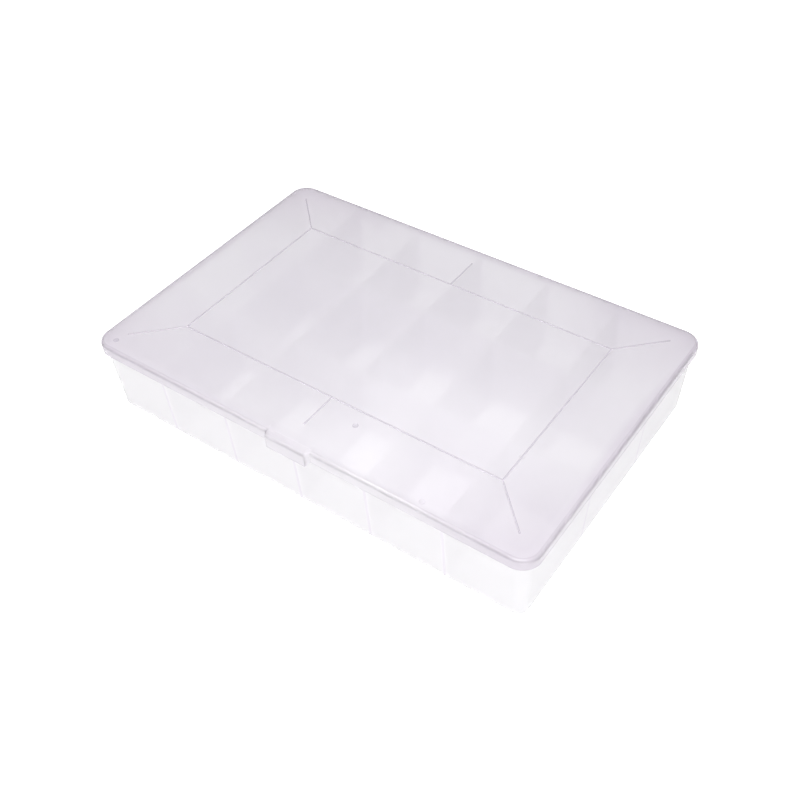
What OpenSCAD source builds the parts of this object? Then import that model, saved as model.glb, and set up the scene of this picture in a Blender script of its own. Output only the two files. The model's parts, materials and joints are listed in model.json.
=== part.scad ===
// Parts sorting tray: a shallow box of eighteen fixed compartments under one hinged lid.
// X runs along the long front side, Y runs towards the hinge and Z points up.
// The origin is the centre of the underside.

/* [Box] */
// Length of the lid, left skirt to right skirt
box_w = 275; // [240:1:320]
// Depth of the lid, front skirt to rear skirt
box_d = 182; // [150:1:220]
// Height of the closed box, underside to the lid's top face
box_h = 48; // [40:1:70]
// Plan radius of the lid's corners
corner_r = 10.5; // [10:0.5:16]

/* [Tray] */
// Thickness of the four outer walls
wall_t = 1.5; // [1:0.1:2]
// Thickness of the floor
floor_t = 1.6; // [1.2:0.1:2.4]
// Distance that the outer walls lean in between the rim and the foot
wall_lean = 2.8; // [0.5:0.1:3]
// Thickness of a divider at its top edge
divider_top_t = 1.2; // [0.8:0.1:1.6]
// Thickness of a divider where it meets the floor
divider_foot_t = 1.9; // [1.6:0.1:2.4]
// Distance from the rim down to the dividers' top edges
divider_drop = 1; // [0:0.1:3]

/* [Lid] */
// Thickness of the lid's top panel
lid_t = 1.4; // [1.2:0.1:1.8]
// Thickness of the skirt round the lid
skirt_t = 1.4; // [1:0.1:1.8]
// Height of the skirt, from the lid's top face to its lower edge
skirt_h = 7.2; // [6:0.1:9]
// Radius of the shoulder between the lid's top face and its skirt
shoulder_r = 2.4; // [1.9:0.1:3]
// Clearance between the tray's rim and the skirt, and between the rim and the panel
lid_gap = 0.5; // [0.4:0.05:0.6]
// Width of the thin ribs on the lid
rib_w = 0.9; // [0.6:0.1:1.5]
// Height of the thin ribs above the lid's top face
rib_h = 0.45; // [0.2:0.05:0.8]
// Distance from the lid's edge to the rectangle of ribs
rib_inset = 36.5; // [25:0.5:45]
// Distance from the lid's edge to the outer ends of the corner and middle ribs
rib_end_inset = 14; // [11:0.5:20]

/* [Thumb tab] */
// Width of the tab at the middle of the front edge
tab_w = 28.5; // [20:0.5:40]
// Distance that the tab stands out from the skirt
tab_out = 2.5; // [1.5:0.1:4]
// Distance that the tab hangs below the skirt
tab_drop = 2; // [1:0.1:3]

/* [Hinge] */
// Distance between the centres of the two hinges
hinge_span = 170; // [100:1:180]
// Width of each hinge clip on the lid
clip_w = 14; // [10:1:20]
// Radius of the hinge pins
pin_r = 1.5; // [1.2:0.1:1.6]
// Radial clearance between a pin and its clip
pin_gap = 0.06; // [0.03:0.01:0.1]

/* [Hidden] */
$fn = 64;
arc_steps = 6;

columns = 6;
rows = 3;

tray_tint = [0.95, 0.95, 0.97];
divider_tint = [0.91, 0.91, 0.94];
lid_tint = [0.88, 0.86, 0.91];
rib_tint = [0.80, 0.78, 0.85];

// The rectangle through the centres of the four rounded corners. Sections below give
// each point as [distance outwards from this rectangle, height].
centre_x = box_w / 2 - corner_r;
centre_y = box_d / 2 - corner_r;

// Tray
rim_z = box_h - lid_t - lid_gap;
rim_d = corner_r - skirt_t - lid_gap;
foot_d = rim_d - wall_lean;
lean_angle = atan(wall_lean / rim_z);
rim_round = wall_t * 0.4;
foot_round = 1.4;
floor_fillet = 1.2;
divider_z = rim_z - divider_drop;

function outer_d(z) = foot_d + wall_lean * z / rim_z;
function inner_d(z) = outer_d(z) - wall_t;
function divider_half(z) = let (s = (z - floor_t) / (divider_z - floor_t))
    (divider_foot_t * (1 - s) + divider_top_t * s) / 2;

column_pitch = 2 * (centre_x + inner_d(rim_z)) / columns;
row_pitch = 2 * (centre_y + inner_d(rim_z)) / rows;
long_divider_y = row_pitch / 2;

// Lid
panel_z = box_h - lid_t;
skirt_z = box_h - skirt_h;
inner_shoulder_r = 0.9;
panel_edge_d = corner_r - max(shoulder_r, skirt_t + inner_shoulder_r) - 0.4;
shoulder_z = box_h - max(shoulder_r, lid_t + inner_shoulder_r) - 0.3;

// Catch under the thumb tab
catch_w = 20;
catch_out = 0.5;
catch_z = skirt_z - tab_drop * 0.3;
catch_half_h = 0.9;

// Hinge
axis_out = 3.1;
axis_drop = 2.2;
axis_y = box_d / 2 + axis_out;
axis_z = skirt_z - axis_drop;
knuckle_r = pin_r + 1.2;
ear_t = 3;
ear_gap = 0.3;
clip_mouth = pin_r * 1.4;
pin_len = clip_w + 2 * ear_gap;

function arc(centre, r, from, to) = [
    for (i = [0 : arc_steps])
        let (a = from + (to - from) * i / arc_steps)
            centre + r * [cos(a), sin(a)]
];

// The inner face of an outer wall, from the foot of its fillet up to a height
function inner_face(top_z) = let (
        z = floor_t + floor_fillet,
        centre = [inner_d(z) - floor_fillet / cos(lean_angle), z])
    concat(
        arc(centre, floor_fillet, -90, -lean_angle),
        [[inner_d(top_z), top_z]]);

// Where the flat plate of the floor meets the section below, to the nearest 0.1
floor_edge_d = floor(inner_face(rim_z)[0][0] * 10 - 1) / 10;

// Section of the tray's outer wall, with a strip of floor
function wall_section() = let (
        rim_c = rim_z - rim_round,
        side = rim_round / cos(lean_angle),
        foot_c = [outer_d(foot_round) - foot_round / cos(lean_angle), foot_round],
        inside = inner_face(rim_c - rim_round * sin(lean_angle)))
    concat(
        [[floor_edge_d, floor_t], [floor_edge_d, 0]],
        arc(foot_c, foot_round, -90, -lean_angle),
        arc([outer_d(rim_c) - side, rim_c], rim_round, -lean_angle, 90),
        arc([inner_d(rim_c) + side, rim_c], rim_round, 90, 180 - lean_angle),
        [for (i = [len(inside) - 2 : -1 : 0]) inside[i]]);

// The lid's shoulder, from the top face out to the skirt's outer face
function shoulder() = arc(
    [corner_r - shoulder_r, box_h - shoulder_r], shoulder_r, 90, 0);

// Section of the lid's edge: a strip of panel and the shoulder, down to the skirt
function shoulder_section() = concat(
    [[panel_edge_d, panel_z], [panel_edge_d, box_h]],
    shoulder(),
    [[corner_r, shoulder_z], [corner_r - skirt_t, shoulder_z]],
    arc([corner_r - skirt_t - inner_shoulder_r, panel_z - inner_shoulder_r],
        inner_shoulder_r, 0, 90));

// Section of the skirt, straight down from the shoulder
skirt_section = [
    [corner_r - skirt_t, skirt_z], [corner_r, skirt_z],
    [corner_r, shoulder_z], [corner_r - skirt_t, shoulder_z]
];

// Draws a section on the YZ plane and makes it w long, centred on x
module along_x(x, w) {
    translate([x - w / 2, 0, 0])
        rotate([90, 0, 90])
            linear_extrude(w)
                children();
}

// Draws a section on the XZ plane and makes it d deep, centred on y
module along_y(y, d) {
    translate([0, y + d / 2, 0])
        rotate([90, 0, 0])
            linear_extrude(d)
                children();
}

// Runs a section round the box: four straight sides and four quarter turns
module ring(section) {
    for (side = [0, 1]) rotate(180 * side) {
        translate([centre_x, 0, 0]) along_y(0, 2 * centre_y) polygon(section);
        translate([0, centre_y, 0]) along_x(0, 2 * centre_x) polygon(section);
        translate([centre_x, centre_y, 0])
            rotate_extrude(angle = 90) polygon(section);
        translate([-centre_x, centre_y, 0]) rotate(90)
            rotate_extrude(angle = 90) polygon(section);
    }
}

// Flat plate with rounded corners that fills the middle of a ring
module plate(d, low, high) {
    translate([0, 0, low]) linear_extrude(high - low) {
        square([2 * centre_x, 2 * (centre_y + d)], center = true);
        square([2 * (centre_x + d), 2 * centre_y], center = true);
        for (x = [-1, 1], y = [-1, 1])
            translate([x * centre_x, y * centre_y]) circle(d);
    }
}

// Section across a divider: thicker at the floor than at the top
module divider_draft() {
    polygon([
        [-divider_foot_t / 2, floor_t], [divider_foot_t / 2, floor_t],
        [divider_top_t / 2, divider_z], [-divider_top_t / 2, divider_z]
    ]);
}

module tray_floor() {
    color(tray_tint) plate(floor_edge_d, 0, floor_t);
}

// The four outer walls, with the rounded foot and the fillet onto the floor
module tray_walls() {
    color(tray_tint) ring(wall_section());
}

// One of the two dividers that run the whole length of the tray
module long_divider(y) {
    end = inner_face(divider_z);
    right = [for (p = end) [centre_x + p[0], p[1]]];
    left = [for (i = [len(end) - 1 : -1 : 0]) [-centre_x - end[i][0], end[i][1]]];
    color(divider_tint) intersection() {
        along_y(y, 2 * divider_foot_t) polygon(concat(right, left));
        translate([0, y, 0]) along_x(0, box_w) divider_draft();
    }
}

module front_long_divider() long_divider(-long_divider_y);
module rear_long_divider() long_divider(long_divider_y);

// A cross divider between a long divider and the rear or front wall
module outer_cross_divider(column, side) {
    end = [for (p = inner_face(divider_z)) [centre_y + p[0], p[1]]];
    joint_foot = [long_divider_y + divider_half(floor_t), floor_t];
    joint_top = [long_divider_y + divider_half(divider_z), divider_z];
    x = (column - columns / 2) * column_pitch;
    color(divider_tint) scale([1, side, 1]) intersection() {
        along_x(x, 2 * divider_foot_t) polygon(concat([joint_foot], end, [joint_top]));
        translate([x, 0, 0]) along_y(box_d / 4, box_d / 2) divider_draft();
    }
}

// A cross divider between the two long dividers
module middle_cross_divider(column) {
    foot_y = long_divider_y - divider_half(floor_t);
    top_y = long_divider_y - divider_half(divider_z);
    x = (column - columns / 2) * column_pitch;
    color(divider_tint) intersection() {
        along_x(x, 2 * divider_foot_t) polygon([
            [-foot_y, floor_t], [foot_y, floor_t], [top_y, divider_z], [-top_y, divider_z]
        ]);
        translate([x, 0, 0]) along_y(0, box_d) divider_draft();
    }
}

module front_cross_divider(column) outer_cross_divider(column, -1);
module rear_cross_divider(column) outer_cross_divider(column, 1);

// Low ridge on the tray's front wall, behind the thumb tab
module front_catch() {
    low = catch_z - catch_half_h;
    high = catch_z + catch_half_h;
    color(tray_tint) along_x(0, catch_w) polygon([
        [-centre_y - outer_d(low), low],
        [-centre_y - outer_d(high), high],
        [-centre_y - outer_d(catch_z) - catch_out, catch_z]
    ]);
}

// The two ears that carry one hinge pin, and the webs that tie them to the rear wall
module hinge_ears(x) {
    top = axis_z + knuckle_r * 0.5;
    low = axis_z - knuckle_r * 2.4;
    color(tray_tint)
        for (side = [-1, 1])
            along_x(x + side * (pin_len + ear_t) / 2, ear_t) {
                translate([axis_y, axis_z]) circle(knuckle_r);
                polygon([
                    [centre_y + outer_d(low), low],
                    [axis_y + knuckle_r * cos(50), axis_z - knuckle_r * sin(50)],
                    [axis_y, top],
                    [centre_y + outer_d(top), top]
                ]);
            }
}

module hinge_pin(x) {
    color(tray_tint)
        translate([x - pin_len / 2, axis_y, axis_z])
            rotate([0, 90, 0]) cylinder(r = pin_r, h = pin_len);
}

module left_hinge_ears() hinge_ears(-hinge_span / 2);
module right_hinge_ears() hinge_ears(hinge_span / 2);
module left_hinge_pin() hinge_pin(-hinge_span / 2);
module right_hinge_pin() hinge_pin(hinge_span / 2);

module lid_panel() {
    color(lid_tint) plate(panel_edge_d, panel_z, box_h);
}

// The rounded shoulder, all the way round the panel
module lid_shoulder() {
    color(lid_tint) ring(shoulder_section());
}

// The skirt that hangs from the shoulder and reaches over the tray's rim
module lid_skirt() {
    color(lid_tint) ring(skirt_section);
}

// Tab at the middle of the front edge: it grows out of the shoulder and the skirt
module thumb_tab() {
    low = skirt_z - tab_drop;
    out = corner_r + tab_out;
    end_r = tab_out * 0.6;
    half_w = tab_w / 2;
    lip_r = 0.5;
    section = concat(
        shoulder(),
        [[corner_r, skirt_z], [corner_r - skirt_t, skirt_z]],
        [[corner_r - skirt_t, low]],
        arc([out - lip_r, low + lip_r], lip_r, -90, 0),
        arc([out - shoulder_r, box_h - shoulder_r], shoulder_r, 0, 90));
    front = -box_d / 2 - tab_out;
    color(lid_tint) intersection() {
        translate([0, -centre_y, 0]) mirror([0, 1, 0]) along_x(0, tab_w) polygon(section);
        linear_extrude(box_h) {
            translate([-half_w, front + end_r]) square([tab_w, box_d / 4]);
            translate([-half_w + end_r, front]) square([tab_w - 2 * end_r, end_r]);
            for (side = [-1, 1])
                translate([side * (half_w - end_r), front + end_r]) circle(end_r);
        }
    }
}

// Thin raised line on the lid between two points, with round ends
module rib(from, to) {
    run = to - from;
    translate([from[0], from[1], box_h])
        rotate(atan2(run[1], run[0]))
            linear_extrude(rib_h) {
                translate([0, -rib_w / 2]) square([norm(run), rib_w]);
                circle(rib_w / 2);
                translate([norm(run), 0]) circle(rib_w / 2);
            }
}

frame_x = box_w / 2 - rib_inset;
frame_y = box_d / 2 - rib_inset;

module lid_border_ribs() {
    color(rib_tint) translate([0, 0, box_h]) linear_extrude(rib_h) difference() {
        square([2 * frame_x + rib_w, 2 * frame_y + rib_w], center = true);
        square([2 * frame_x - rib_w, 2 * frame_y - rib_w], center = true);
    }
}

// Diagonal ribs that run from the rectangle's corners towards the lid's corners
module lid_corner_ribs() {
    run = rib_inset - rib_end_inset;
    start = [frame_x, frame_y] + [1, 1] * rib_w * 1.2;
    color(rib_tint)
        for (x = [-1, 1], y = [-1, 1])
            scale([x, y, 1]) rib(start, [frame_x + run, frame_y + run]);
}

// Short ribs from the middle of the rectangle's two long sides
module lid_mid_ribs() {
    start = frame_y + rib_w * 1.2;
    color(rib_tint)
        for (y = [-1, 1])
            scale([1, y, 1]) rib([0, start], [0, box_d / 2 - rib_end_inset]);
}

// Open clip on the lid that snaps over a hinge pin
module hinge_clip(x) {
    skirt_y = box_d / 2;
    color(lid_tint) along_x(x, clip_w) difference() {
        union() {
            translate([axis_y, axis_z]) circle(knuckle_r);
            polygon([
                [skirt_y, skirt_z + 0.3],
                [axis_y - knuckle_r * cos(20), axis_z + knuckle_r * sin(20)],
                [axis_y + knuckle_r * cos(40), axis_z + knuckle_r * sin(40)],
                [skirt_y, box_h - shoulder_r - 0.6]
            ]);
        }
        translate([axis_y, axis_z]) circle(pin_r + pin_gap);
        translate([axis_y - clip_mouth / 2, axis_z - 2 * knuckle_r])
            square([clip_mouth, 2 * knuckle_r]);
    }
}

module left_hinge_clip() hinge_clip(-hinge_span / 2);
module right_hinge_clip() hinge_clip(hinge_span / 2);

tray_floor();
tray_walls();
front_long_divider();
rear_long_divider();
front_cross_divider(1);  // front_cross_divider_1
front_cross_divider(2);  // front_cross_divider_2
front_cross_divider(3);  // front_cross_divider_3
front_cross_divider(4);  // front_cross_divider_4
front_cross_divider(5);  // front_cross_divider_5
middle_cross_divider(1);  // middle_cross_divider_1
middle_cross_divider(2);  // middle_cross_divider_2
middle_cross_divider(3);  // middle_cross_divider_3
middle_cross_divider(4);  // middle_cross_divider_4
middle_cross_divider(5);  // middle_cross_divider_5
rear_cross_divider(1);  // rear_cross_divider_1
rear_cross_divider(2);  // rear_cross_divider_2
rear_cross_divider(3);  // rear_cross_divider_3
rear_cross_divider(4);  // rear_cross_divider_4
rear_cross_divider(5);  // rear_cross_divider_5
front_catch();
left_hinge_ears();
right_hinge_ears();
left_hinge_pin();
right_hinge_pin();
lid_panel();
lid_shoulder();
lid_skirt();
thumb_tab();
lid_border_ribs();
lid_corner_ribs();
lid_mid_ribs();
left_hinge_clip();
right_hinge_clip();
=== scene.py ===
import json
import math

import bmesh
import bpy
from mathutils import Matrix, Vector


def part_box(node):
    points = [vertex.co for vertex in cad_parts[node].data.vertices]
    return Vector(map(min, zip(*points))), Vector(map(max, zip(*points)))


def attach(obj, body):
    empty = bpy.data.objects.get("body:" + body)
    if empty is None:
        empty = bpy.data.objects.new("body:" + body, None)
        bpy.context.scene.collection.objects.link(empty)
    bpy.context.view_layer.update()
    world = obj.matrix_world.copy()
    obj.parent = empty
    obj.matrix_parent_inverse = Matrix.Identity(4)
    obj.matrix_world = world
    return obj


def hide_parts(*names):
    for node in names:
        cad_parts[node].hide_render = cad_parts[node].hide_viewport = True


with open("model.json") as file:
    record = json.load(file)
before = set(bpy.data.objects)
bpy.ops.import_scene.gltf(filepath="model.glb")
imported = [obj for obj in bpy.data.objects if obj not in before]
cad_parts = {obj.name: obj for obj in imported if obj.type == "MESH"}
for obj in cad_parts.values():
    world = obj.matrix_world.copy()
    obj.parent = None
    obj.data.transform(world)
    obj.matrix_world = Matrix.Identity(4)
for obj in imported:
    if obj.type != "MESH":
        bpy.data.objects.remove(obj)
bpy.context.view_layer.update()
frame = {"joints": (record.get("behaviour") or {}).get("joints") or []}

# A parts sorting tray of natural polypropylene: a tray with fixed dividers, and a lid that turns
# on two clip hinges. Lengths are metres. X runs along the front, Y towards the hinges and Z up.
#
# Seen from above, the box is a rectangle with round corners. Its walls and the lid's edge are given
# as sections: lists of (distance, height) points. A distance is measured outwards from the
# rectangle that joins the centres of the four corner rounds.

# ---------------------------------------------------------------- sizes from the frame
MM = 0.001

skirt_low, skirt_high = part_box("lid_skirt")
panel_low, panel_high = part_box("lid_panel")
tab_low, tab_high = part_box("thumb_tab")
wall_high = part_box("tray_walls")[1]
border_rib_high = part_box("lid_border_ribs")[1]

HALF_W, HALF_D = skirt_high.x, skirt_high.y
LID_TOP = panel_high.z
PANEL_UNDER = panel_low.z
SKIRT_Z = skirt_low.z
TAB_HALF = tab_high.x
TAB_OUT = -HALF_D - tab_low.y
TAB_Z = tab_low.z
RIM_Z = wall_high.z
FLOOR_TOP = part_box("tray_floor")[1].z
DIVIDER_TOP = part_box("front_long_divider")[1].z
_, HINGE_Y, HINGE_Z = frame["joints"][0]["pos_m"]

# ---------------------------------------------------------------- sizes of the details
CORNER_R = 10.5 * MM
COLUMNS, ROWS = 6, 3

# The tray's walls lean out by WALL_LEAN over their height. The flat floor ends at FLOOR_EDGE.
WALL_T = 1.5 * MM
WALL_LEAN = 2.8 * MM
FLOOR_EDGE = 3.1 * MM
FOOT_ROUND = 1.4 * MM
RIM_ROUND = 0.6 * MM
FLOOR_FILLET = 1.2 * MM

# Sink marks, where a divider's shrinking draws the outer face of the wall in
SINK_MARK_HALF_W = 1.1 * MM
SINK_MARK_DEPTH = 0.04 * MM
SINK_MARK_FADE = 3.0 * MM
SINK_MARK_STEPS = 4

# The dividers, which are thicker at the foot
DIVIDER_TOP_T = 1.2 * MM
DIVIDER_FOOT_T = 1.9 * MM
DIVIDER_TOP_R = DIVIDER_TOP_T * 0.32
DIVIDER_TOP_STEPS = 4
ROOT_R = 0.7 * MM
ROOT_STEPS = 5
FLARE_SHARES = (0.25, 0.5, 0.75, 1.0)

# The lid. Its top falls from CROWN_START on, to CROWN_SLOPE degrees at the shoulder. It is polished
# from POLISH_START on. The thumb tab steps out over TAB_EASE at each end.
SKIRT_T = 1.4 * MM
SHOULDER_R = 2.0 * MM
SHOULDER_STEPS = 10
INNER_SHOULDER_R = 0.9 * MM
INNER_SHOULDER_STEPS = 6
CROWN_START = 4.0 * MM
CROWN_SLOPE = 15
CROWN_STEPS = 8
LIP_ROUND = 0.35 * MM
LIP_STEPS = 3
POLISH_START = 8.6 * MM
TAB_EASE = 2.2 * MM
TAB_STEPS = 8

# The raised lines on the lid. RIB_START is where a line starts beside the middle of another, and
# RIB_END_SHARES are the widths that its round end narrows through.
RIB_W = 0.9 * MM
RIB_H = border_rib_high.z - LID_TOP
RIB_SINK = 0.08 * MM
RIB_START = RIB_W * 0.6
RIB_STEPS = 8
RIB_END_SHARES = (0.25, 0.7, 0.92)
MITRE_LIMIT = 0.2
FRAME_X = border_rib_high.x - RIB_W / 2
FRAME_Y = border_rib_high.y - RIB_W / 2
CORNER_RIB_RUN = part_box("lid_corner_ribs")[1].x - RIB_W / 2 - FRAME_X
MID_RIB_END_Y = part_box("lid_mid_ribs")[1].y - RIB_W / 2

# Round marks of the mould's pins and gate on the lid's top, as (x, y) in millimetres
DARK_MARKS = ((-126, -84), (22, -64))
PALE_MARKS = ((77, -86), (101, -37))
MARK_R = 1.6 * MM
MARK_H = 0.05 * MM
MARK_STEPS = 28
# Section of a mark from its middle, as (share of MARK_R, share of MARK_H)
MARK_PROFILE = ((0.0, -1), (1, -1), (1, 0.5), (0.93, 1), (0.80, 1), (0.72, 0.4), (0.0, 0.3))

# The hinges. Angles are degrees round the pin's axis: 0 is straight back, and 90 is up.
KNUCKLE_R = 2.7 * MM
PIN_R = 1.5 * MM
PIN_ROOT_R = 0.22 * MM
PIN_ROOT_STEPS = 4
PIN_STEPS = 40
BORE_R = 1.56 * MM
BORE_STEPS = 36
MOUTH_HALF = 1.05 * MM
MOUTH_ANGLE = 270
JAW_START, JAW_START_STEPS = 160, 12
JAW_STOP, JAW_STOP_STEPS = 40, 14
EAR_T = 3.0 * MM
EAR_EDGE_R = 0.3 * MM
EYE_START, EYE_STOP, EYE_STEPS = -60, 150, 28
EAR_FOOT_DROP = 2.4 * KNUCKLE_R
EAR_TOP_RISE = 0.5 * KNUCKLE_R
CLIP_EDGE_R = 0.2 * MM
ARM_ABOVE_LIP = 0.3 * MM
ARM_BELOW_SHOULDER = 0.6 * MM
EDGE_SEGMENTS = 3

# The catch. Its ends run out over CATCH_END_RUN, and CATCH_END_RISE keeps them from vanishing.
# CREST_ROUND is larger for a rounder crest.
CATCH_END_RUN = 1.2 * MM
CATCH_END_STEPS = 5
CATCH_END_RISE = 0.01
CATCH_STEPS = 12
CREST_ROUND = 0.04

# How far a piece runs into the one that it stands on
SINK = 0.3 * MM

# Steps in a corner round of the box and in a fillet
CORNER_STEPS = 16
FILLET_STEPS = 8
# An edge sharper than this, in degrees, isn't shaded smooth
SMOOTH_ANGLE = 38
# Verts closer than this become one
WELD_DISTANCE = 1e-7
# A normal with more than this along one axis belongs to a straight side
STRAIGHT = 0.999

CENTRE_X = HALF_W - CORNER_R
CENTRE_Y = HALF_D - CORNER_R
RIM_D = wall_high.x - CENTRE_X
FOOT_D = RIM_D - WALL_LEAN
LEAN = math.atan2(WALL_LEAN, RIM_Z)


def outer_d(z):
    """Distance of the outer face of the tray's wall, by height."""
    return FOOT_D + WALL_LEAN * z / RIM_Z


def inner_d(z):
    """Distance of the inner face of the tray's wall, by height."""
    return outer_d(z) - WALL_T


def divider_half(z):
    """Half a divider's thickness, by height."""
    s = (z - FLOOR_TOP) / (DIVIDER_TOP - FLOOR_TOP)
    return (DIVIDER_FOOT_T * (1 - s) + DIVIDER_TOP_T * s) / 2


COLUMN_PITCH = 2 * (CENTRE_X + inner_d(RIM_Z)) / COLUMNS
ROW_PITCH = 2 * (CENTRE_Y + inner_d(RIM_Z)) / ROWS
LONG_Y = ROW_PITCH / 2
CROSS_XS = [(k - COLUMNS / 2) * COLUMN_PITCH for k in range(1, COLUMNS)]
LONG_YS = [-LONG_Y, LONG_Y]

# ---------------------------------------------------------------- values of the materials
IOR = 1.49

# Patterns in the plastic: clouds in its tint, flow in its roughness, and waves and grain in its
# relief. Scales are cells per metre.
CLOUD_SCALE, CLOUD_DETAIL = 22, 3
FLOW_SCALE, FLOW_DETAIL = 60, 4
FLOW_STRETCH = (1, 0.25, 1)
WAVE_SCALE, WAVE_DETAIL = 30, 1
WAVE_DEPTH = 0.04 * MM
GRAIN_SCALE, GRAIN_DETAIL = 2600, 2
NOISE_SPAN = (0.3, 0.7)

# Roughness of the face that the light leaves by
FAR_ROUGH = (0.10, 0.14)

# Where the lid's edge tint lies, as spans of distance, height, x, y and |x * y|. It is partly the
# long way through the plastic and partly painted shade
EDGE_SPAN = (3.0 * MM, 10.0 * MM)
SKIRT_SHADE = 0.7
SKIRT_SPAN = (LID_TOP - 4.5 * MM, LID_TOP - 1.5 * MM)
# Painted shade along the front edge, deepest at its left end, away from the light
FRONT_SHADE = 0.20
FRONT_SPAN_X = (-HALF_W, 0.35 * HALF_W)
FRONT_SPAN_Y = (-HALF_D + 2 * MM, -HALF_D + 11 * MM)
# Painted shade on the thumb tab
TAB_SHADE = 0.45
TAB_SPAN_Y = (-HALF_D - 1.4 * MM, -HALF_D - 0.4 * MM)
# Painted shade in the panel's corners, where less light reaches
CORNER_SHADE = 0.90
CORNER_SPAN = (0.25 * HALF_W * HALF_D, 0.90 * HALF_W * HALF_D)

# Where the tray's root tint lies: it fades away from a divider's middle, and past the last one
ROOT_SPAN = (0.40 * MM, 1.10 * MM)
LAST_CROSS_SPAN = (2.3 * COLUMN_PITCH, 2.4 * COLUMN_PITCH)

# ---------------------------------------------------------------- values of the studio
# The floor's shade and glow, first for light that bounces off it and then for the camera
STAGE_HALF = 4.0
STAGE_GAP = 0.1 * MM
TABLE_SHADE, TABLE_GLOW = 0.90, 0.30
PAPER_SHADE, PAPER_GLOW = 0.90, 0.60

# The camera looks down at the front-right corner. Angles are degrees, and the lens is millimetres.
CAMERA_AZIMUTH, CAMERA_ELEVATION, CAMERA_ROLL = 37.404, 44.516, -2.939
CAMERA_DISTANCE = 568.87 * MM
CAMERA_RIGHT, CAMERA_UP = 2.917 * MM, -33.417 * MM
CAMERA_LENS, CAMERA_SENSOR = 47.70, 36
CAMERA_CLIP_START = 0.01

# The sky's brightness: all round, towards the front right, and where the camera sees it
SKY = 0.08
SKY_FRONT = 0.90
SKY_FRONT_WAY = (0.70, -0.70, 0.2)
SKY_FRONT_SPAN = (-0.2, 1.0)
BACKDROP = 1.0

# Lamps that hang level over the table: name, centre in x and y, size in x and y, and watts
LAMP_Z = 0.68
LAMPS = (
    ("softbox_front", (0.22, -0.37), (0.55, 0.50), 4.1),
    ("softbox_back", (-0.28, 0.33), (0.28, 0.46), 0.80),
    ("softbox_strip", (-0.235, -0.20), (0.11, 0.24), 0.45),
)

# Light passes many thin faces here, so it may bounce often
BOUNCES = 24
TRANSPARENT_BOUNCES = 32
INDIRECT_CLAMP = 6


# ---------------------------------------------------------------- node tools
class Graph:
    """Short ways to add nodes to one node tree. place is the point or direction that is shaded."""

    def __init__(self, tree, coordinates=None):
        self.nodes = tree.nodes
        self.links = tree.links
        if coordinates:
            self.place = self.add("ShaderNodeTexCoord").outputs[coordinates]

    def add(self, kind, inputs=None, **settings):
        """A new node. Each input, by name or number, is linked to a socket or set to a value."""
        node = self.nodes.new(kind)
        for setting, value in settings.items():
            setattr(node, setting, value)
        for key, value in (inputs or {}).items():
            if isinstance(value, bpy.types.NodeSocket):
                self.links.new(value, node.inputs[key])
            else:
                node.inputs[key].default_value = value
        return node

    def number(self, operation, *values):
        """A sum on one or two numbers."""
        inputs = dict(enumerate(values))
        return self.add("ShaderNodeMath", inputs, operation=operation).outputs[0]

    def vector(self, operation, *values):
        """A sum on one or two vectors. A length or a dot product is a number."""
        node = self.add("ShaderNodeVectorMath", dict(enumerate(values)), operation=operation)
        if operation in ("LENGTH", "DOT_PRODUCT"):
            return node.outputs["Value"]
        return node.outputs["Vector"]

    def split(self, vector):
        """The x, y and z of a vector."""
        return self.add("ShaderNodeSeparateXYZ", {0: vector}).outputs

    def ramp(self, value, span, low, high, **settings):
        """From low at the span's start to high at its end, and level on both sides of it."""
        inputs = {
            "Value": value,
            "From Min": span[0],
            "From Max": span[1],
            "To Min": low,
            "To Max": high,
        }
        return self.add("ShaderNodeMapRange", inputs, **settings).outputs[0]

    def noise(self, scale, detail, stretch=(1, 1, 1)):
        """Noise that is fixed to the object, with scale cells per metre."""
        place = self.add("ShaderNodeMapping", {"Vector": self.place, "Scale": stretch}).outputs[0]
        inputs = {"Vector": place, "Scale": scale, "Detail": detail}
        return self.add("ShaderNodeTexNoise", inputs).outputs["Fac"]

    def tint(self, factor, a, b):
        """Colour a at factor 0 and colour b at 1."""
        inputs = {"Factor": factor, "A": a, "B": b}
        return self.add("ShaderNodeMix", inputs, data_type="RGBA").outputs["Result"]

    def mix(self, factor, a, b):
        """Shader a at factor 0 and shader b at 1."""
        return self.add("ShaderNodeMixShader", {0: factor, 1: a, 2: b}).outputs[0]

    def bump(self, height, depth, under=None):
        """Relief of a depth, on top of the relief under it if there is one."""
        inputs = {"Strength": 1.0, "Distance": depth, "Height": height}
        if under:
            inputs["Normal"] = under
        return self.add("ShaderNodeBump", inputs).outputs[0]


def new_material(name):
    """An empty node material."""
    material = bpy.data.materials.new(name)
    material.use_nodes = True
    material.node_tree.nodes.clear()
    return material


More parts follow.
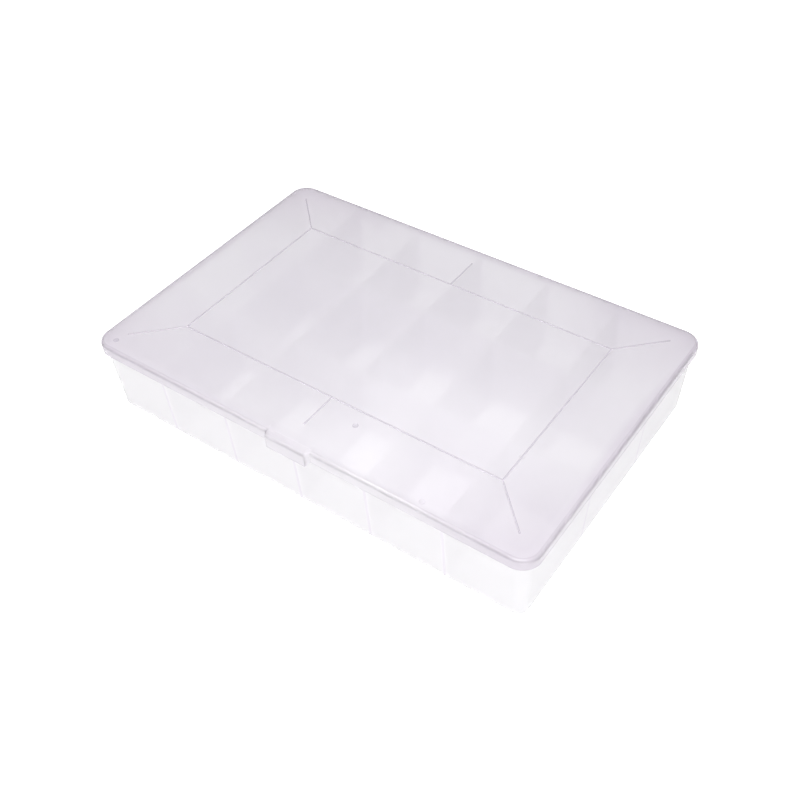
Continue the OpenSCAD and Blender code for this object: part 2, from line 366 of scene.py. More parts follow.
# ---------------------------------------------------------------- materials
def edge_and_painted_shade_share(g):
    """How much the lid shows of its edge tint, which is partly the long way through the plastic and
    partly painted shade.

    It rises from the panel out to the shoulder, where one looks the long way through the plastic
    and painted shade darkens the edge, and is a little less on the skirt. Along the front it fades
    from left to right, as painted shade that is deepest at the left end. The thumb tab and the
    corners of the panel have shares of their own, both painted shade, and the largest share counts."""
    size = g.vector("ABSOLUTE", g.place)
    # The last number is a metre, so that the height drops out
    beyond = g.vector("SUBTRACT", size, (CENTRE_X, CENTRE_Y, 1))
    distance = g.vector("LENGTH", g.vector("MAXIMUM", beyond, (0, 0, 0)))
    # Partly the long way through the plastic, partly painted shade along the edge
    rim = g.ramp(distance, EDGE_SPAN, 0, 1)
    size_x, size_y, height = g.split(size)
    lift = g.ramp(height, SKIRT_SPAN, SKIRT_SHADE, 1)
    x, y, _ = g.split(g.place)
    # Painted shade along the front, deepest at the left end
    front_painted_shade = g.ramp(x, FRONT_SPAN_X, 1.0, FRONT_SHADE)
    behind_front = g.ramp(y, FRONT_SPAN_Y, 0, 1)
    lift = g.number("MULTIPLY", lift, g.number("MAXIMUM", front_painted_shade, behind_front))
    # Painted shade on the thumb tab
    tab = g.ramp(y, TAB_SPAN_Y, TAB_SHADE, 0)
    # Painted shade in the panel's corners
    corner = g.ramp(g.number("MULTIPLY", size_x, size_y), CORNER_SPAN, 0, CORNER_SHADE)
    edge = g.number("MAXIMUM", g.number("MULTIPLY", rim, lift), corner)
    return g.number("MAXIMUM", edge, tab)


def root_share(g):
    """How much the tray shows of its root tint: all of it where a divider meets wall or floor."""
    x, y, _ = g.split(g.vector("ABSOLUTE", g.place))
    cross = g.ramp(g.number("PINGPONG", x, COLUMN_PITCH / 2), ROOT_SPAN, 1, 0)
    within = g.ramp(x, LAST_CROSS_SPAN, 1, 0)
    beside = g.number("ABSOLUTE", g.number("SUBTRACT", y, LONG_Y))
    along = g.ramp(beside, ROOT_SPAN, 1, 0)
    return g.number("MAXIMUM", g.number("MULTIPLY", cross, within), along)


def frosted(name, clear, deep, rough, milk, haze, grain, passing, edge=None, root=None):
    """Natural polypropylene.

    clear, deep: its tints, in faint clouds
    rough: range of roughness of the face that the light meets first
    milk: share of the light that this face scatters back
    haze: share of the light that the far face scatters forwards
    grain: depth of the fine grain
    passing: tint of the light that a face lets straight through to whatever it lights beyond
    edge: deeper tint along the lid's edge, partly the long way through the plastic and partly
    painted shade
    root: deeper tint where the dividers meet the tray"""
    material = new_material(name)
    g = Graph(material.node_tree, "Object")
    cloud = g.ramp(g.noise(CLOUD_SCALE, CLOUD_DETAIL), NOISE_SPAN, 0, 1)
    colour = g.tint(cloud, (*clear, 1), (*deep, 1))
    # The lid's edge colour: partly the long way through the plastic, partly painted shade
    if edge:
        colour = g.tint(edge_and_painted_shade_share(g), colour, (*edge, 1))
    if root:
        colour = g.tint(root_share(g), colour, (*root, 1))
    flow = g.noise(FLOW_SCALE, FLOW_DETAIL, FLOW_STRETCH)
    wave = g.bump(g.noise(WAVE_SCALE, WAVE_DETAIL), WAVE_DEPTH)
    skin = g.bump(g.noise(GRAIN_SCALE, GRAIN_DETAIL), grain, wave)

    def plastic(through, roughness):
        """A glossy face that lets all of the light through, or none of it."""
        inputs = {
            "IOR": IOR,
            "Transmission Weight": through,
            "Base Color": colour,
            "Roughness": g.ramp(flow, NOISE_SPAN, *roughness),
            "Normal": skin,
        }
        return g.add("ShaderNodeBsdfPrincipled", inputs).outputs[0]

    scatter = g.add("ShaderNodeBsdfTranslucent", {"Color": colour}).outputs[0]
    leaving = g.mix(haze, plastic(1.0, FAR_ROUGH), scatter)
    entering = g.mix(milk, plastic(1.0, FAR_ROUGH), plastic(0.0, rough))
    is_leaving = g.add("ShaderNodeNewGeometry").outputs["Backfacing"]
    face = g.mix(is_leaving, entering, leaving)
    # Rays that light other things run straight on, because refracted ones would light in blotches
    straight = g.add("ShaderNodeBsdfTransparent", {"Color": (*passing, 1)}).outputs[0]
    ray = g.add("ShaderNodeLightPath").outputs
    is_lighting = g.number("MAXIMUM", ray["Is Shadow Ray"], ray["Is Diffuse Ray"])
    g.add("ShaderNodeOutputMaterial", {"Surface": g.mix(is_lighting, face, straight)})
    return material


TRAY_PLASTIC = frosted(
    "tray_frosted_pp",
    clear=(0.996, 0.993, 0.998), deep=(0.99, 0.986, 0.995), rough=(0.46, 0.54),
    milk=0.55, haze=0.55, grain=0.002 * MM,
    passing=(0.90, 0.89, 0.91), root=(0.90, 0.86, 0.925))
# The dividers are a little darker than the tray: painted shade, so that they read as darker bands
# seen through the lid
DIVIDER_PLASTIC = frosted(
    "divider_frosted_pp",
    clear=(0.945, 0.932, 0.955), deep=(0.932, 0.918, 0.943), rough=(0.46, 0.54),
    milk=0.60, haze=0.50, grain=0.002 * MM,
    passing=(0.95, 0.94, 0.96))
# The lid's edge colour is partly the long way through the plastic and partly painted shade
LID_PLASTIC = frosted(
    "lid_frosted_pp",
    clear=(0.981, 0.973, 0.986), deep=(0.969, 0.959, 0.976), rough=(0.29, 0.35),
    milk=0.42, haze=0.32, grain=0.003 * MM,
    passing=(0.95, 0.94, 0.955), edge=(0.84, 0.80, 0.855))
# The polished edge faces are a little darker still: more painted shade along the shoulder and skirt
LID_EDGE_PLASTIC = frosted(
    "lid_edge_polished_painted_shade_pp",
    clear=(0.972, 0.963, 0.978), deep=(0.962, 0.952, 0.969), rough=(0.12, 0.16),
    milk=0.40, haze=0.30, grain=0.001 * MM,
    passing=(0.95, 0.94, 0.955), edge=(0.78, 0.735, 0.80))
# The ribs' colour is darker than the lid's: painted shade for the shaded sides of the thin raised
# lines. The dark marks use the same colour.
RIB_PLASTIC = frosted(
    "rib_frosted_pp",
    clear=(0.84, 0.81, 0.86), deep=(0.82, 0.79, 0.84), rough=(0.16, 0.20),
    milk=0.30, haze=0.05, grain=0.002 * MM,
    passing=(0.90, 0.89, 0.91))

# ---------------------------------------------------------------- mesh tools
# The body that a piece rides on, and its material slot
TRAY = ("tray", "tray_polypropylene")
DIVIDERS = ("tray", "divider_polypropylene")
LID = ("lid", "lid_polypropylene")


def finish_piece(name, bm, part, material, nodes=None):
    """Turns a bmesh into a piece that rides on its body and stands for its CAD nodes.

    part is its (body, slot), of which only the body is used. It stands for the node of its own name
    if nodes aren't given."""
    body, slot = part
    if nodes is None:
        nodes = [name]
    bmesh.ops.remove_doubles(bm, verts=bm.verts, dist=WELD_DISTANCE)
    bmesh.ops.recalc_face_normals(bm, faces=bm.faces)
    mesh = bpy.data.meshes.new(name + "_moulded")
    bm.to_mesh(mesh)
    bm.free()
    mesh.materials.append(material)
    mesh.shade_smooth()
    mesh.set_sharp_from_angle(angle=math.radians(SMOOTH_ANGLE))
    piece = bpy.data.objects.new(name + "_moulded", mesh)
    bpy.context.scene.collection.objects.link(piece)
    weigh = piece.modifiers.new("even_normals", "WEIGHTED_NORMAL")
    weigh.keep_sharp = True
    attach(piece, body)
    if nodes:
        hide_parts(*nodes)
    return piece


def arc(cx, cz, r, start, stop, steps=FILLET_STEPS):
    """Points on an arc, from one angle to another in degrees."""
    turn = (stop - start) / steps
    angles = [math.radians(start + turn * i) for i in range(steps + 1)]
    return [(cx + r * math.cos(a), cz + r * math.sin(a)) for a in angles]


def full_turn(steps):
    """Angles all the way round, in radians."""
    return [2 * math.pi * k / steps for k in range(steps)]


def box_stations(side_xs=(), side_ys=(), front_xs=()):
    """Stations round the box: (corner's number or None, point, outward normal).

    The point is on the rectangle of the corner centres. side_xs adds stations to the front and
    the rear at those x, side_ys to the two ends at those y, and front_xs to the front alone."""
    corners = [(1, 1), (-1, 1), (-1, -1), (1, -1)]
    sides = (
        [(x, CENTRE_Y, 0, 1) for x in sorted(side_xs, reverse=True)],
        [(-CENTRE_X, y, -1, 0) for y in sorted(side_ys, reverse=True)],
        [(x, -CENTRE_Y, 0, -1) for x in sorted((*side_xs, *front_xs))],
        [(CENTRE_X, y, 1, 0) for y in sorted(side_ys)],
    )
    stations = []
    for q, side in enumerate(sides):
        corner = Vector((corners[q][0] * CENTRE_X, corners[q][1] * CENTRE_Y))
        for i in range(CORNER_STEPS + 1):
            a = math.radians(90 * (q + i / CORNER_STEPS))
            stations.append((q, corner, Vector((math.cos(a), math.sin(a)))))
        for x, y, out_x, out_y in side:
            stations.append((None, Vector((x, y)), Vector((out_x, out_y))))
    return stations


def sweep_box(bm, stations, section_at):
    """Runs a section round the box and returns its rows of verts. section_at(point, normal)
    gives the section at a station."""
    rows = []
    for _, point, normal in stations:
        row = []
        for d, z in section_at(point, normal):
            at = point + normal * d
            row.append(bm.verts.new((at.x, at.y, z)))
        rows.append(row)
    for i, row in enumerate(rows):
        after = rows[(i + 1) % len(rows)]
        for k in range(len(row) - 1):
            bm.faces.new((row[k], after[k], after[k + 1], row[k + 1]))
    return rows


def fill_plate(bm, stations, loop, z):
    """Flat fill inside a loop of a sweep: a middle, four sides and a fan in each corner."""
    signs = [(1, 1), (-1, 1), (-1, -1), (1, -1)]
    middle = [bm.verts.new((x * CENTRE_X, y * CENTRE_Y, z)) for x, y in signs]
    bm.faces.new(middle)
    count = len(stations)
    start = 0
    while start < count:
        stop = start + 1
        while stations[stop % count][0] is None:
            stop += 1
        corner, next_corner = stations[start][0], stations[stop % count][0]
        face = [middle[corner]]
        face += [loop[k % count] for k in range(start, stop + 1)]
        if next_corner != corner:
            face.append(middle[next_corner])
        bm.faces.new(face)
        start = stop


def join_rings(bm, a, b):
    """Faces between two rings of verts. A ring of one vert is a point."""
    count = max(len(a), len(b))
    for k in range(count):
        n = (k + 1) % count
        corners = (a[k % len(a)], a[n % len(a)], b[n % len(b)], b[k % len(b)])
        bm.faces.new(list(dict.fromkeys(corners)))


def tube(bm, rings, closed=False):
    """A tube through rings of verts. It runs back to its start if closed, or else has flat ends."""
    for a, b in zip(rings, rings[1:]):
        join_rings(bm, a, b)
    if closed:
        join_rings(bm, rings[-1], rings[0])
    else:
        bm.faces.new(rings[0])
        bm.faces.new(rings[-1])


# ---------------------------------------------------------------- tray
def inner_fillet():
    """From the floor up to the wall, inside the tray."""
    z = FLOOR_TOP + FLOOR_FILLET
    d = inner_d(z) - FLOOR_FILLET / math.cos(LEAN)
    return arc(d, z, FLOOR_FILLET, -90, -math.degrees(LEAN))


def tray_section(sunk):
    """The wall's section, with its outer face set in by sunk."""
    lean = math.degrees(LEAN)
    side = RIM_ROUND / math.cos(LEAN)
    rim_c = RIM_Z - RIM_ROUND
    foot_d = outer_d(FOOT_ROUND) - FOOT_ROUND / math.cos(LEAN)
    foot = arc(foot_d, FOOT_ROUND, FOOT_ROUND, -90, -lean)
    foot_top = foot[-1][1]
    sunk_zs = (foot_top + SINK_MARK_FADE, DIVIDER_TOP - SINK_MARK_FADE)
    return (
        [(FLOOR_EDGE, 0)]
        + foot
        + [(outer_d(z) - sunk, z) for z in sunk_zs]
        + arc(outer_d(rim_c) - side, rim_c, RIM_ROUND, -lean, 90)
        + arc(inner_d(rim_c) + side, rim_c, RIM_ROUND, 90, 180 - lean)
        + inner_fillet()[::-1]
        + [(FLOOR_EDGE, FLOOR_TOP)]
    )


def sink_mark(t, places):
    """How deep the wall's outer face is drawn in at t, with dividers at places."""
    away = min(abs(t - place) for place in places) / SINK_MARK_HALF_W
    return SINK_MARK_DEPTH * math.cos(min(away, 1) * math.pi / 2) ** 2


def tray_shell():
    """Floor and walls as one closed shell, with sink marks behind the dividers."""
    bm = bmesh.new()
    marks = range(-SINK_MARK_STEPS, SINK_MARK_STEPS + 1)
    steps = [SINK_MARK_HALF_W * i / SINK_MARK_STEPS for i in marks]
    side_xs = [x + step for x in CROSS_XS for step in steps]
    side_ys = [y + step for y in LONG_YS for step in steps]
    stations = box_stations(side_xs, side_ys)

    def section_at(point, normal):
        if abs(normal.y) > STRAIGHT:
            return tray_section(sink_mark(point.x, CROSS_XS))
        if abs(normal.x) > STRAIGHT:
            return tray_section(sink_mark(point.y, LONG_YS))
        return tray_section(0)

    rows = sweep_box(bm, stations, section_at)
    fill_plate(bm, stations, [row[0] for row in rows], 0)
    fill_plate(bm, stations, [row[-1] for row in rows], FLOOR_TOP)
    finish_piece("tray_shell", bm, TRAY, TRAY_PLASTIC, ["tray_floor", "tray_walls"])


def divider_profile():
    """Half of a divider's section, from its root fillet up to the middle of its round top, as
    (half thickness, height) points."""
    foot = divider_half(FLOOR_TOP) + ROOT_R
    top_u = divider_half(DIVIDER_TOP) - DIVIDER_TOP_R
    top_z = DIVIDER_TOP - DIVIDER_TOP_R
    return (
        [(foot, FLOOR_TOP - SINK)]
        + arc(foot, FLOOR_TOP + ROOT_R, ROOT_R, -90, -180, ROOT_STEPS)
        + arc(top_u, top_z, DIVIDER_TOP_R, 0, 90, DIVIDER_TOP_STEPS)
    )


def divider_flare():
    """The fillet at a divider's end, as (run from the face that it meets, extra half thickness)."""
    flare = [(-SINK, ROOT_R), (0, ROOT_R)]
    for share in FLARE_SHARES:
        left = ROOT_R - share * ROOT_R
        flare.append((share * ROOT_R, ROOT_R - math.sqrt(ROOT_R**2 - left**2)))
    return flare


def divider(name, middle, along_x, low_end, high_end):
    """A drafted divider with a round top and root fillets.

    It runs along x at y = middle if along_x, or else along y at x = middle. low_end(z) and
    high_end(z) are where the faces that it meets are, by height."""
    bm = bmesh.new()

    def vert(t, u, z):
        return bm.verts.new((t, middle + u, z) if along_x else (middle + u, t, z))

    profile = divider_profile()
    flare = divider_flare()
    grid = []
    for side in (-1, 1):
        layers = []
        for u, z in profile:
            at = max(z, FLOOR_TOP)
            low, high = low_end(at), high_end(at)
            line = [vert(low + run, side * (u + extra), z) for run, extra in flare]
            line += [vert(high - run, side * (u + extra), z) for run, extra in flare[::-1]]
            layers.append(line)
        grid.append(layers)
    left, right = grid
    length = len(left[0])
    for layers in grid:
        for a, b in zip(layers, layers[1:]):
            for k in range(length - 1):
                bm.faces.new((a[k], a[k + 1], b[k + 1], b[k]))
    for k in range(length - 1):
        for layer in (0, -1):
            a, b = left[layer], right[layer]
            bm.faces.new((a[k], a[k + 1], b[k + 1], b[k]))
    for i in range(len(profile) - 1):
        for k in (0, -1):
            bm.faces.new((left[i][k], left[i + 1][k], right[i + 1][k], right[i][k]))
    finish_piece(name, bm, DIVIDERS, DIVIDER_PLASTIC)


def wall_face(centre):
    """A function that gives the inner face of the wall, with its floor fillet, by height."""
    fillet = inner_fillet()

    def face(z):
        for (d0, z0), (d1, z1) in zip(fillet, fillet[1:]):
            if z <= z1:
                return centre + d0 + (d1 - d0) * (z - z0) / (z1 - z0)
        return centre + inner_d(z)

    return face


def long_divider_face(side):
    """A function that gives a face of the rear long divider, by height: the one towards the
    middle row for side -1, and the one towards the rear row for side 1."""
    def face(z):
        return LONG_Y + side * divider_half(z)

    return face


def opposite(face):
    """The same face on the other side of the box."""
    def mirrored(z):
        return -face(z)

    return mirrored


def dividers():
    """Two dividers along the box, and five across each of the three rows."""
    end_wall = wall_face(CENTRE_X)
    divider("front_long_divider", -LONG_Y, True, opposite(end_wall), end_wall)
    divider("rear_long_divider", LONG_Y, True, opposite(end_wall), end_wall)
    side_wall = wall_face(CENTRE_Y)
    near, far = long_divider_face(-1), long_divider_face(1)
    for k, x in enumerate(CROSS_XS, 1):
        divider(f"front_cross_divider_{k}", x, False, opposite(side_wall), opposite(far))
        divider(f"middle_cross_divider_{k}", x, False, opposite(near), near)
        divider(f"rear_cross_divider_{k}", x, False, far, side_wall)


def front_catch():
    """Low ridge on the front wall, with a round crest and ends that fade into the wall."""
    low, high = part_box("front_catch")
    middle = (low.z + high.z) / 2
    half_h = (high.z - low.z) / 2
    crest = -CENTRE_Y - outer_d(middle) - low.y
    crest_scale = math.sqrt(1 + CREST_ROUND) - math.sqrt(CREST_ROUND)
    xs = [low.x + CATCH_END_RUN * i / CATCH_END_STEPS for i in range(CATCH_END_STEPS + 1)]
    xs += [-x for x in xs[::-1]]
    bm = bmesh.new()
    rings = []
    for x in xs:
        s = min((x - low.x) / CATCH_END_RUN, (high.x - x) / CATCH_END_RUN, 1.0)
        rise = crest * math.sqrt(max(1 - (1 - s) ** 2, CATCH_END_RISE))
        ring = []
        for i in range(CATCH_STEPS + 1):
            t = -1 + 2 * i / CATCH_STEPS
            z = middle + half_h * t
            bulge = math.sqrt(1 + CREST_ROUND) - math.sqrt(t * t + CREST_ROUND)
            y = -CENTRE_Y - outer_d(z) - rise * bulge / crest_scale
            ring.append(bm.verts.new((x, y, z)))
        for z in (high.z, low.z):
            ring.append(bm.verts.new((x, -CENTRE_Y - outer_d(z) + SINK, z)))
        rings.append(ring)
    tube(bm, rings)
    finish_piece("front_catch", bm, TRAY, TRAY_PLASTIC)


# ---------------------------------------------------------------- lid
def lid_marks(name, marks, material):
    """Small round marks of the mould's pins and gate, a hair proud of the lid's top."""
    bm = bmesh.new()
    for x, y in marks:
        rings = []
        for r_share, h_share in MARK_PROFILE:
            r, z = MARK_R * r_share, LID_TOP + MARK_H * h_share
            angles = full_turn(MARK_STEPS) if r else [0]
            spots = [(x * MM + r * math.cos(a), y * MM + r * math.sin(a), z) for a in angles]
            rings.append([bm.verts.new(spot) for spot in spots])
        for a, b in zip(rings, rings[1:]):
            join_rings(bm, a, b)
    finish_piece(name, bm, LID, material, [])


def tab_push(x):
    """How far the thumb tab stands out at x: an S-shaped step at each end."""
    s = min(max((TAB_HALF - abs(x)) / TAB_EASE, 0), 1)
    return TAB_OUT * s * s * (3 - 2 * s)


def lid_section(push):
    """The section of the lid's edge, from its top round to the panel's underside. push moves it
    out and brings its lip down, as on the thumb tab."""
    slope = math.radians(CROWN_SLOPE)
    shoulder_d = CORNER_R - SHOULDER_R * (1 - math.sin(slope))
    run = shoulder_d - CROWN_START
    drop = run * math.tan(slope) / 2
    shoulder_z = LID_TOP - drop - SHOULDER_R * math.cos(slope)
    steps = [i / CROWN_STEPS for i in range(1, CROWN_STEPS)]
    crown = [(CROWN_START + run * s, LID_TOP - drop * s * s) for s in steps]
    shoulder_from = 90 - CROWN_SLOPE
    shoulder = arc(CORNER_R - SHOULDER_R, shoulder_z, SHOULDER_R, shoulder_from, 0, SHOULDER_STEPS)
    lip_z = SKIRT_Z - (SKIRT_Z - TAB_Z) * push / TAB_OUT + LIP_ROUND
    lip = arc(CORNER_R - LIP_ROUND, lip_z, LIP_ROUND, 0, -90, LIP_STEPS)
    lip += arc(CORNER_R - SKIRT_T + LIP_ROUND, lip_z, LIP_ROUND, -90, -180, LIP_STEPS)
    inner_d_centre = CORNER_R - SKIRT_T - INNER_SHOULDER_R
    inner_z_centre = PANEL_UNDER - INNER_SHOULDER_R
    inner = arc(inner_d_centre, inner_z_centre, INNER_SHOULDER_R, 0, 90, INNER_SHOULDER_STEPS)
    moved = [(d + push, z) for d, z in crown + shoulder + lip + inner]
    return [(CROWN_START, LID_TOP)] + moved + [(CROWN_START, PANEL_UNDER)]


def lid_shell():
    """Panel, shoulder, skirt and thumb tab as one closed shell, polished along its edge."""
    bm = bmesh.new()
    tab_xs = [TAB_HALF - TAB_EASE * i / TAB_STEPS for i in range(TAB_STEPS + 1)]
    stations = box_stations(front_xs=[-x for x in tab_xs] + tab_xs)

    def section_at(point, normal):
        return lid_section(tab_push(point.x) if normal.y < -STRAIGHT else 0)

    rows = sweep_box(bm, stations, section_at)
    fill_plate(bm, stations, [row[0] for row in rows], LID_TOP)
    fill_plate(bm, stations, [row[-1] for row in rows], PANEL_UNDER)
    for face in bm.faces:
        at = face.calc_center_median()
        beyond = Vector((max(abs(at.x) - CENTRE_X, 0), max(abs(at.y) - CENTRE_Y, 0)))
        if beyond.length > POLISH_START:
            face.material_index = 1
    nodes = ["lid_panel", "lid_shoulder", "lid_skirt", "thumb_tab"]
    lid = finish_piece("lid_shell", bm, LID, LID_PLASTIC, nodes)
    lid.data.materials.append(LID_EDGE_PLASTIC)


def rib_profile():
    """Section of a raised line, as (share of its width, share of its height) points."""
    round_top = [math.pi * i / RIB_STEPS for i in range(RIB_STEPS + 1)]
    profile = [(-0.5, -RIB_SINK / RIB_H)]
    profile += [(-0.5 * math.cos(a), math.sin(a)) for a in round_top]
    profile += [(0.5, -RIB_SINK / RIB_H)]
    return profile


def ridge(bm, path, closed=False):
    """A thin half-round ridge on the lid's top, along a path of (x, y) points."""
    profile = rib_profile()
    rings = []

    def add_ring(at, across, share=1.0):
        """A section across the path. share makes it narrower and lower, for a round end."""
        ring = []
        for u, v in profile:
            side = across * (u * RIB_W * share)
            rise = v * RIB_H * (share if v > 0 else 1)
            ring.append(bm.verts.new((at.x + side.x, at.y + side.y, LID_TOP + rise)))
        rings.append(ring)

    points = [Vector(point) for point in path]
    count = len(points)
    for i, point in enumerate(points):
        is_start = not closed and i == 0
        is_end = not closed and i == count - 1
        after = None if is_end else (points[(i + 1) % count] - point).normalized()
        before = after if is_start else (point - points[i - 1]).normalized()
        after = after or before
        mean = (before + after).normalized()
        across = Vector((-mean.y, mean.x)) / max(mean.dot(before), MITRE_LIMIT)
        if is_start:
            for share in RIB_END_SHARES:
                back = RIB_W * 0.5 * math.sqrt(1 - share * share)
                add_ring(point - after * back, across, share)
        add_ring(point, across)
        if is_end:
            for share in RIB_END_SHARES[::-1]:
                on = RIB_W * 0.5 * math.sqrt(1 - share * share)
                add_ring(point + before * on, across, share)
    tube(bm, rings, closed)


def border_ribs():
    """The rectangle of raised lines."""
    bm = bmesh.new()
    signs = [(1, 1), (-1, 1), (-1, -1), (1, -1)]
    ridge(bm, [(x * FRAME_X, y * FRAME_Y) for x, y in signs], closed=True)
    finish_piece("lid_border_ribs", bm, LID, RIB_PLASTIC)


def corner_ribs():
    """Four lines at 45 degrees, out from the rectangle's corners."""
    bm = bmesh.new()
    for side_x in (-1, 1):
        for side_y in (-1, 1):
            path = [(side_x * (FRAME_X + run), side_y * (FRAME_Y + run))
                    for run in (RIB_START, CORNER_RIB_RUN)]
            ridge(bm, path)
    finish_piece("lid_corner_ribs", bm, LID, RIB_PLASTIC)


def mid_ribs():
    """Two short lines, out from the middles of the rectangle's long sides."""
    bm = bmesh.new()
    for side_y in (-1, 1):
        ridge(bm, [(0, side_y * (FRAME_Y + RIB_START)), (0, side_y * MID_RIB_END_Y)])
    finish_piece("lid_mid_ribs", bm, LID, RIB_PLASTIC)


# ---------------------------------------------------------------- hinges
def prism(bm, outline, low_x, high_x, edge_r):
    """An outline of (y, z) points made solid along x, with both of its rims rounded."""
    ends = [[bm.verts.new((x, y, z)) for y, z in outline] for x in (low_x, high_x)]
    caps = [bm.faces.new(end) for end in ends]
    join_rings(bm, *ends)
    bmesh.ops.recalc_face_normals(bm, faces=bm.faces)
    rims = [edge for cap in caps for edge in cap.edges]
    bmesh.ops.bevel(bm, geom=rims, offset=edge_r, offset_type="OFFSET",
                    segments=EDGE_SEGMENTS, profile=0.5, affect="EDGES", clamp_overlap=True)


def merge(bm, part):
    """Adds a second bmesh to the first."""
    mesh = bpy.data.meshes.new("merged")
    part.to_mesh(mesh)
    part.free()
    bm.from_mesh(mesh)
    bpy.data.meshes.remove(mesh)


def hinge_ears(side):
    """Two ears: each a web out from the rear wall, and an eye round the pin's axis."""
    node = f"{side}_hinge_ears"
    low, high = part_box(node)
    foot = HINGE_Z - EAR_FOOT_DROP
    top = HINGE_Z + EAR_TOP_RISE
    outline = [(CENTRE_Y + outer_d(foot) - SINK, foot)]
    outline += arc(HINGE_Y, HINGE_Z, KNUCKLE_R, EYE_START, EYE_STOP, EYE_STEPS)
    outline += [(CENTRE_Y + outer_d(top) - SINK, top)]
    bm = bmesh.new()
    for start in (low.x, high.x - EAR_T):
        ear = bmesh.new()
        prism(ear, outline, start, start + EAR_T, EAR_EDGE_R)
        merge(bm, ear)
    finish_piece(node, bm, TRAY, TRAY_PLASTIC)


def hinge_pin(side):
    """The pin, with a small root fillet where it leaves each ear."""
    node = f"{side}_hinge_pin"
    low, high = (corner.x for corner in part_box(node))
    root = [(-SINK, PIN_R + PIN_ROOT_R)]
    for i in range(PIN_ROOT_STEPS + 1):
        a = math.radians(90 * i / PIN_ROOT_STEPS)
        run = PIN_ROOT_R * (1 - math.cos(a))
        root.append((run, PIN_R + PIN_ROOT_R * (1 - math.sin(a))))
    profile = [(low + run, r) for run, r in root]
    profile += [(high - run, r) for run, r in root[::-1]]
    bm = bmesh.new()
    rings = []
    for x, r in profile:
        spots = [(x, HINGE_Y + r * math.cos(a), HINGE_Z + r * math.sin(a))
                 for a in full_turn(PIN_STEPS)]
        rings.append([bm.verts.new(spot) for spot in spots])
    tube(bm, rings)
    finish_piece(node, bm, TRAY, TRAY_PLASTIC)


def hinge_clip(side):
    """The lid's open clip: an arm out from the skirt, and a jaw whose mouth faces down."""
    node = f"{side}_hinge_clip"
    low, high = (corner.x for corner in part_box(node))
    outer_mouth = math.degrees(math.asin(MOUTH_HALF / KNUCKLE_R))
    inner_mouth = math.degrees(math.asin(MOUTH_HALF / BORE_R))
    outline = [(HALF_D - SINK, SKIRT_Z + ARM_ABOVE_LIP)]
    mouth_in, mouth_out = MOUTH_ANGLE, MOUTH_ANGLE - 360
    axis = (HINGE_Y, HINGE_Z)
    outline += arc(*axis, KNUCKLE_R, JAW_START, mouth_in - outer_mouth, JAW_START_STEPS)
    outline += arc(*axis, BORE_R, mouth_in - inner_mouth, mouth_out + inner_mouth, BORE_STEPS)
    outline += arc(*axis, KNUCKLE_R, mouth_out + outer_mouth, JAW_STOP, JAW_STOP_STEPS)
    outline += [(HALF_D - SINK, LID_TOP - SHOULDER_R - ARM_BELOW_SHOULDER)]
    bm = bmesh.new()
    prism(bm, outline, low, high, CLIP_EDGE_R)
    finish_piece(node, bm, LID, LID_PLASTIC)


# ---------------------------------------------------------------- stage, camera and light
def stage_material():
    """White paper that glows a little, and that is see-through from below."""
    material = new_material("stage_white")
    g = Graph(material.node_tree)

    def surface(shade, strength):
        """A diffuse white with a little light of its own."""
        white = g.add("ShaderNodeBsdfDiffuse", {"Color": (shade, shade, shade, 1)}).outputs[0]
        glow = g.add("ShaderNodeEmission", {"Strength": strength}).outputs[0]
        return g.add("ShaderNodeAddShader", {0: white, 1: glow}).outputs[0]

    is_seen = g.add("ShaderNodeLightPath").outputs["Is Camera Ray"]
    is_below = g.add("ShaderNodeNewGeometry").outputs["Backfacing"]
    table = surface(TABLE_SHADE, TABLE_GLOW)
    paper = surface(PAPER_SHADE, PAPER_GLOW)
    clear = g.add("ShaderNodeBsdfTransparent").outputs[0]
    top = g.mix(is_seen, table, paper)
    g.add("ShaderNodeOutputMaterial", {"Surface": g.mix(is_below, top, clear)})
    return material


def stage():
    """The floor."""
    bm = bmesh.new()
    signs = [(-1, -1), (1, -1), (1, 1), (-1, 1)]
    bm.faces.new([bm.verts.new((x * STAGE_HALF, y * STAGE_HALF, -STAGE_GAP)) for x, y in signs])
    mesh = bpy.data.meshes.new("stage_floor")
    bm.to_mesh(mesh)
    bm.free()
    mesh.materials.append(stage_material())
    floor = bpy.data.objects.new("stage_floor", mesh)
    bpy.context.scene.collection.objects.link(floor)


def camera():
    """Turned about the middle of the lid's top, then moved along its own right and up."""
    azimuth = math.radians(CAMERA_AZIMUTH)
    elevation = math.radians(CAMERA_ELEVATION)
    roll = math.radians(CAMERA_ROLL)
    level = math.cos(elevation)
    back = Vector((math.sin(azimuth) * level, -math.cos(azimuth) * level, math.sin(elevation)))
    level_right = Vector((math.cos(azimuth), math.sin(azimuth), 0))
    level_up = back.cross(level_right)
    right = level_right * math.cos(roll) + level_up * math.sin(roll)
    up = -level_right * math.sin(roll) + level_up * math.cos(roll)
    place = Vector((0, 0, LID_TOP)) + back * CAMERA_DISTANCE
    place += right * CAMERA_RIGHT + up * CAMERA_UP
    data = bpy.data.cameras.new("camera")
    data.lens = CAMERA_LENS
    data.sensor_width = CAMERA_SENSOR
    data.clip_start = CAMERA_CLIP_START
    cam = bpy.data.objects.new("camera", data)
    axes = Matrix((right, up, back)).transposed()
    cam.matrix_world = Matrix.Translation(place) @ axes.to_4x4()
    bpy.context.scene.collection.objects.link(cam)
    bpy.context.scene.camera = cam


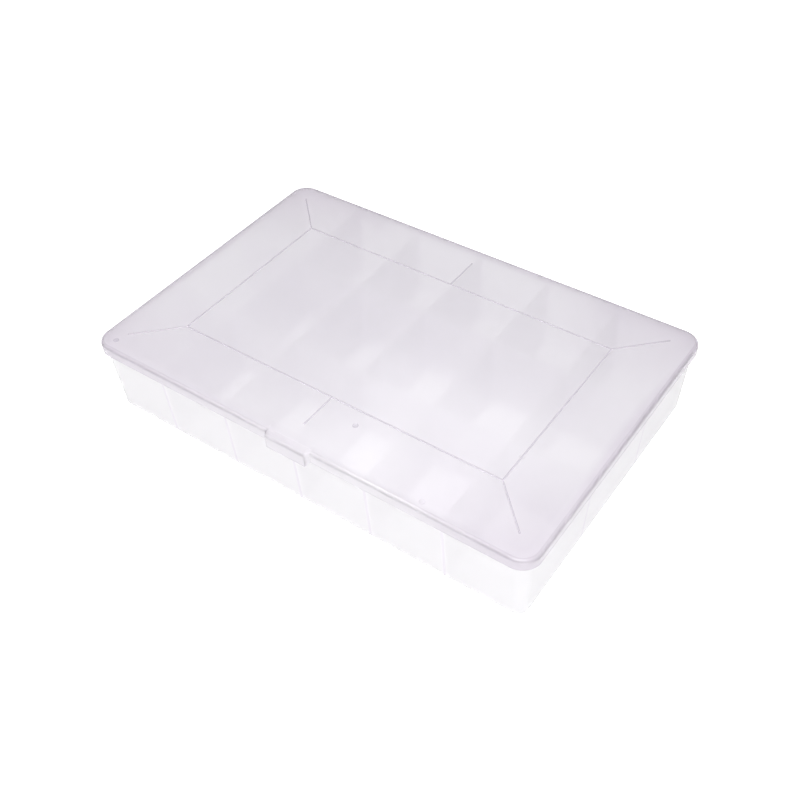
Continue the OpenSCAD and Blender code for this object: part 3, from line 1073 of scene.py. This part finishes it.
def sky():
    """Dim all round and bright towards the front right. The camera sees it white."""
    world = bpy.data.worlds.new("studio")
    world.use_nodes = True
    g = Graph(world.node_tree, "Generated")
    towards = g.vector("DOT_PRODUCT", g.place, Vector(SKY_FRONT_WAY).normalized())
    front = g.ramp(towards, SKY_FRONT_SPAN, 0, SKY_FRONT, interpolation_type="SMOOTHSTEP")
    is_seen = g.add("ShaderNodeLightPath").outputs["Is Camera Ray"]
    seen = g.ramp(is_seen, (0, 1), 0, BACKDROP)
    strength = g.number("MAXIMUM", g.number("ADD", SKY, front), seen)
    background = g.nodes["Background"]
    background.inputs["Color"].default_value = (1, 1, 1, 1)
    g.links.new(strength, background.inputs["Strength"])
    bpy.context.scene.world = world


def lamps():
    """Soft lamps over the table."""
    for name, (x, y), size, power in LAMPS:
        data = bpy.data.lights.new(name, "AREA")
        data.shape = "RECTANGLE"
        data.size, data.size_y = size
        data.energy = power
        lamp = bpy.data.objects.new(name, data)
        lamp.location = (x, y, LAMP_Z)
        bpy.context.scene.collection.objects.link(lamp)


def light_paths():
    """How light is followed, and how its colours are shown."""
    view = bpy.context.scene.view_settings
    view.view_transform = "Standard"
    view.look = "None"
    view.exposure = 0.0
    cycles = bpy.context.scene.cycles
    cycles.max_bounces = BOUNCES
    cycles.transmission_bounces = BOUNCES
    cycles.glossy_bounces = BOUNCES
    cycles.diffuse_bounces = BOUNCES
    cycles.transparent_max_bounces = TRANSPARENT_BOUNCES
    cycles.sample_clamp_indirect = INDIRECT_CLAMP
    cycles.blur_glossy = 0
    cycles.use_denoising = True


# ---------------------------------------------------------------- the scene
tray_shell()
dividers()
front_catch()
lid_marks("lid_dark_marks", DARK_MARKS, RIB_PLASTIC)
lid_marks("lid_pale_marks", PALE_MARKS, LID_EDGE_PLASTIC)
lid_shell()
border_ribs()
corner_ribs()
mid_ribs()
for side in ("left", "right"):
    hinge_ears(side)
    hinge_pin(side)
    hinge_clip(side)

stage()
camera()
sky()
lamps()
light_paths()
